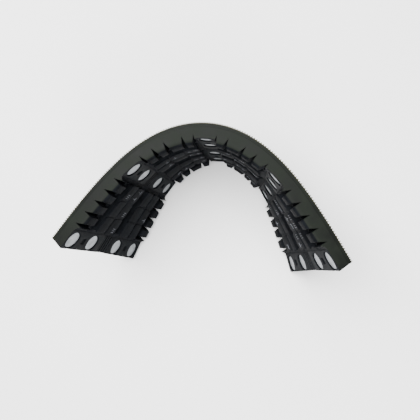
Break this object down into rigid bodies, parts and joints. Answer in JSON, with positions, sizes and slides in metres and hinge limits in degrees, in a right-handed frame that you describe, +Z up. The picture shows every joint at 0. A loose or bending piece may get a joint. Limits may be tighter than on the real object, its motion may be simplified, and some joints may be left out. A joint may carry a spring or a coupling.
{
  "type": "rubber track section",
  "caption": "Open length of rubber track bent with its tread inside, with steel-cored crossbars, round stud heads, notched shoulders and a finely ribbed running face.",
  "frame": {"origin": "on the floor, under the middle of the bent section's bounding box", "axes": "+Z up along the width of the band at the crown, +Y towards the crown, -Y towards the two open ends, X from end to end"},
  "size_m": [0.4656, 0.2219, 0.2319],
  "materials": {
    "running_rubber": "moulded running-side rubber, satin",
    "drive_ribs": "fine moulded cross ribs, olive",
    "cord_ply": "brass-plated steel cords in a rubber ply",
    "carcass": "moulded tread-side rubber, satin",
    "cross_panel": "moulded recessed panel, satin",
    "core_bar": "forged steel bar, as forged",
    "studs": "bright steel heads with a fine cross hatch",
    "centre_guide": "hard rubber with grooves",
    "shoulder_blocks": "moulded tread rubber",
    "middle_lugs": "moulded tread rubber"
  },
  "bodies": {
    "crown": {"running_rubber_crown": "running_rubber", "drive_ribs_crown": "drive_ribs", "cord_ply_crown": "cord_ply", "carcass_crown": "carcass", "cross_panel_crown": "cross_panel", "core_bar_crown": "core_bar", "studs_crown": "studs", "centre_guide_crown": "centre_guide", "shoulder_blocks_crown": "shoulder_blocks", "middle_lugs_crown": "middle_lugs"},
    "left": {"running_rubber_left": "running_rubber", "drive_ribs_left": "drive_ribs", "cord_ply_left": "cord_ply", "carcass_left": "carcass", "cross_panel_left": "cross_panel", "core_bar_left": "core_bar", "studs_left": "studs", "centre_guide_left": "centre_guide", "shoulder_blocks_left": "shoulder_blocks", "middle_lugs_left": "middle_lugs"},
    "left_end": {"running_rubber_left_end": "running_rubber", "drive_ribs_left_end": "drive_ribs", "cord_ply_left_end": "cord_ply", "carcass_left_end": "carcass", "cross_panel_left_end": "cross_panel", "core_bar_left_end": "core_bar", "studs_left_end": "studs", "centre_guide_left_end": "centre_guide", "shoulder_blocks_left_end": "shoulder_blocks", "middle_lugs_left_end": "middle_lugs"},
    "right": {"running_rubber_right": "running_rubber", "drive_ribs_right": "drive_ribs", "cord_ply_right": "cord_ply", "carcass_right": "carcass", "cross_panel_right": "cross_panel", "core_bar_right": "core_bar", "studs_right": "studs", "centre_guide_right": "centre_guide", "shoulder_blocks_right": "shoulder_blocks", "middle_lugs_right": "middle_lugs"},
    "right_end": {"running_rubber_right_end": "running_rubber", "drive_ribs_right_end": "drive_ribs", "cord_ply_right_end": "cord_ply", "carcass_right_end": "carcass", "cross_panel_right_end": "cross_panel", "core_bar_right_end": "core_bar", "studs_right_end": "studs", "centre_guide_right_end": "centre_guide", "shoulder_blocks_right_end": "shoulder_blocks", "middle_lugs_right_end": "middle_lugs"}
  },
  "joints": [
    {"name": "flex_left_end", "type": "hinge", "parent": "left", "child": "left_end", "pos_m": [-0.16055, -0.0174, 0.1146], "axis": [-0.1429, 0.0636, 0.9877], "range_deg": [-14, 4], "stiffness_Nm_per_rad": 8},
    {"name": "flex_left", "type": "hinge", "parent": "crown", "child": "left", "pos_m": [-0.05837, 0.0967, 0.11514], "axis": [-0.0114, 0.0256, 0.9996], "range_deg": [-14, 4], "stiffness_Nm_per_rad": 8},
    {"name": "flex_right", "type": "hinge", "parent": "crown", "child": "right", "pos_m": [0.05837, 0.0967, 0.11514], "axis": [-0.0114, -0.0256, -0.9996], "range_deg": [-14, 4], "stiffness_Nm_per_rad": 8},
    {"name": "flex_right_end", "type": "hinge", "parent": "right", "child": "right_end", "pos_m": [0.16055, -0.0174, 0.1146], "axis": [-0.1429, -0.0636, -0.9877], "range_deg": [-14, 4], "stiffness_Nm_per_rad": 8}
  ]
}
